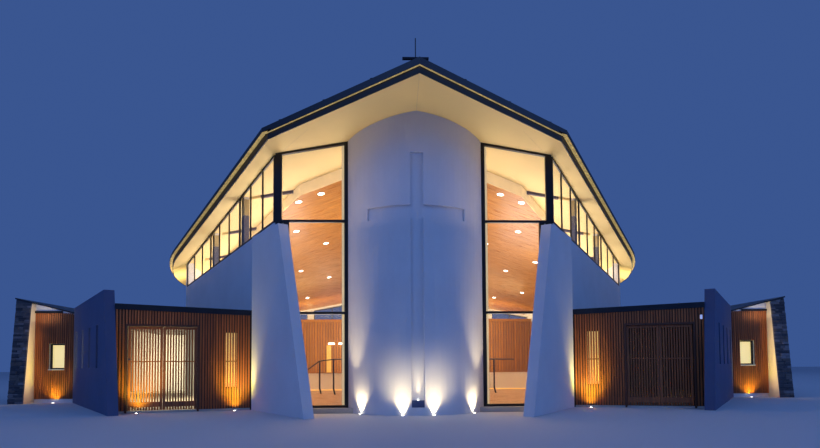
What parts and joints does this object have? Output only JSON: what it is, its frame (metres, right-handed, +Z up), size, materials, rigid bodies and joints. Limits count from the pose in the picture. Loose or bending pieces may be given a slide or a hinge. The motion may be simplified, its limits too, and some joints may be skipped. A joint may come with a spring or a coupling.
{
  "type": "modern church building",
  "caption": "White nave under a prow-fronted gable roof, with a curved wall bearing a recessed cross between tall windows, and low timber wings with gates behind slotted blade walls.",
  "frame": {"origin": "middle of the footprint of everything, at ground level", "axes": "+X to the right of someone facing the front, +Y from the front to the back, +Z up"},
  "size_m": [25.28, 25.5699, 7.859],
  "materials": {
    "render": "smooth white painted render",
    "grey_render": "smooth grey painted render",
    "cream_board": "satin cream paint",
    "ceiling_timber": "satin varnish",
    "roof_metal": "satin dark grey",
    "dark_frame": "satin black",
    "glass": "clear",
    "timber": "oiled",
    "stone": "rough split stone",
    "concrete": "float finished"
  },
  "bodies": {
    "building": {"apse_cross_wall": "render", "left_apse_wall": "render", "left_blade_wall": "grey_render", "left_ceiling": "ceiling_timber", "left_clerestory_frame": "dark_frame", "left_clerestory_glass": "glass", "left_fin": "render", "left_flank_glass": "glass", "left_flank_wall": "render", "left_front_frame": "dark_frame", "left_front_glass": "glass", "left_nave_wall": "render", "left_roof": "roof_metal", "left_screen": "timber", "left_screen_end": "timber", "left_screen_head": "timber", "left_screen_pane": "glass", "left_side_pane": "glass", "left_side_wall": "timber", "left_soffit": "cream_board", "left_stone_wall": "stone", "left_wing_back_wall": "render", "left_wing_floor": "concrete", "left_wing_roof": "roof_metal", "low_wall": "render", "nave_floor": "concrete", "rear_glass": "glass", "rear_wall": "render", "ridge_cap": "roof_metal", "right_apse_wall": "render", "right_blade_wall": "grey_render", "right_ceiling": "ceiling_timber", "right_clerestory_frame": "dark_frame", "right_clerestory_glass": "glass", "right_fin": "render", "right_flank_glass": "glass", "right_flank_wall": "render", "right_front_frame": "dark_frame", "right_front_glass": "glass", "right_nave_wall": "render", "right_roof": "roof_metal", "right_screen": "timber", "right_screen_end": "timber", "right_screen_head": "timber", "right_screen_pane": "glass", "right_side_pane": "glass", "right_side_wall": "timber", "right_soffit": "cream_board", "right_stone_wall": "stone", "right_wing_back_wall": "render", "right_wing_floor": "concrete", "right_wing_roof": "roof_metal"},
    "right_inner_leaf": {"right_gate_inner_leaf": "timber"},
    "right_outer_leaf": {"right_gate_outer_leaf": "timber"},
    "left_inner_leaf": {"left_gate_inner_leaf": "timber"},
    "left_outer_leaf": {"left_gate_outer_leaf": "timber"}
  },
  "joints": [
    {"name": "right_inner_leaf_hinge", "type": "hinge", "parent": "building", "child": "right_inner_leaf", "pos_m": [5.59308, -9.30689, 1.1], "axis": [0, 0, 1], "range_deg": [0, 90]},
    {"name": "right_outer_leaf_hinge", "type": "hinge", "parent": "building", "child": "right_outer_leaf", "pos_m": [7.12333, -9.73126, 1.1], "axis": [0, 0, -1], "range_deg": [0, 90]},
    {"name": "left_inner_leaf_hinge", "type": "hinge", "parent": "building", "child": "left_inner_leaf", "pos_m": [-5.59308, -9.30689, 1.1], "axis": [0, 0, -1], "range_deg": [0, 90]},
    {"name": "left_outer_leaf_hinge", "type": "hinge", "parent": "building", "child": "left_outer_leaf", "pos_m": [-7.12333, -9.73126, 1.1], "axis": [0, 0, 1], "range_deg": [0, 90]}
  ]
}
